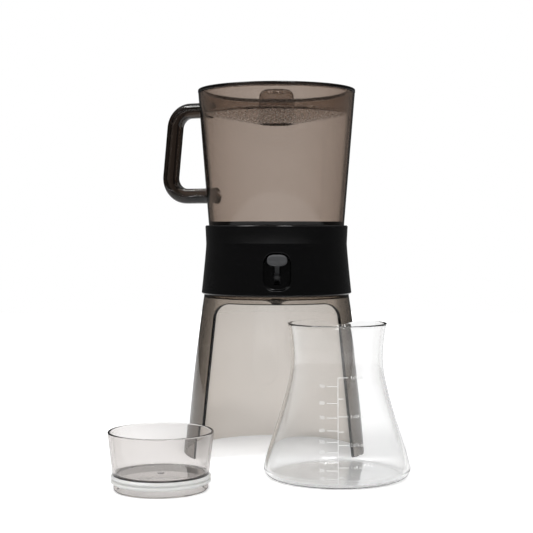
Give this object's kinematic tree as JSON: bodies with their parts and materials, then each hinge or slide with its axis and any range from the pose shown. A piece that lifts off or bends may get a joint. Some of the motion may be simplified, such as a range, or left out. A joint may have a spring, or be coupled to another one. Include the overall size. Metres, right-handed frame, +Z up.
{
  "type": "cold brew coffee maker",
  "caption": "Smoked cold brew maker with perforated top, flip switch valve and open stand, with its glass carafe and stopper cup beside it.",
  "frame": {"origin": "on the table, on the brewer's vertical axis, at the middle of the stand's foot", "axes": "+Z up along the brewer's axis; -Y is the front, where the switch and the stand's arch face; +X is the viewer's right"},
  "size_m": [0.2828, 0.3439, 0.3857],
  "materials": {
    "smoked_plastic": "clear smoked, polished",
    "clear_smoked_plastic": "nearly clear, polished",
    "carafe_glass": "clear borosilicate",
    "black_plastic": "piano black",
    "soft_grip": "matte soft touch",
    "grey_plastic": "fine matte",
    "steel": "satin",
    "silicone": "translucent white"
  },
  "bodies": {
    "stand": {"stand_shell": "smoked_plastic"},
    "brewer": {"container": "smoked_plastic", "handle": "smoked_plastic", "band_cover": "black_plastic", "base_pan": "black_plastic", "spout": "black_plastic", "base_screws": "steel", "lever_pin": "steel"},
    "switch": {"switch_lever": "grey_plastic", "switch_paddle": "soft_grip", "crank_pin": "steel"},
    "valve": {"lift_bar": "grey_plastic", "valve_stem": "grey_plastic", "valve_plug": "silicone", "stem_clip": "steel"},
    "filter": {"filter_frame": "black_plastic", "filter_mesh": "steel", "filter_seal": "silicone"},
    "rainmaker": {"rainmaker": "smoked_plastic"},
    "carafe": {"carafe_glass": "carafe_glass"},
    "stopper": {"stopper_cup": "clear_smoked_plastic", "stopper_seal": "silicone"}
  },
  "joints": [
    {"name": "brewer_lift", "type": "slide", "parent": "stand", "child": "brewer", "axis": [0, 0, 1], "range_m": [0, 0.1]},
    {"name": "switch_flip", "type": "hinge", "parent": "brewer", "child": "switch", "pos_m": [0, -0.056, 0.188], "axis": [1, 0, 0], "range_deg": [0, 50]},
    {"name": "valve_lift", "type": "slide", "parent": "brewer", "child": "valve", "axis": [0, 0, 1], "range_m": [0, 0.00676]},
    {"name": "filter_lift", "type": "slide", "parent": "brewer", "child": "filter", "axis": [0, 0, 1], "range_m": [0, 0.17]},
    {"name": "rainmaker_lift", "type": "slide", "parent": "filter", "child": "rainmaker", "axis": [0, 0, 1], "range_m": [0, 0.08]},
    {"name": "carafe_swing", "type": "hinge", "parent": "stand", "child": "carafe", "pos_m": [0.1242, -0.0303, 0], "axis": [0, 0, -1], "range_deg": [0, 72]},
    {"name": "stopper_lift", "type": "slide", "parent": "stand", "child": "stopper", "axis": [0, 0, 1], "range_m": [0, 0.12]}
  ],
  "couplings": [
    {"joint": "switch_flip", "follows": "valve_lift", "rad_per_m": 129.06}
  ]
}
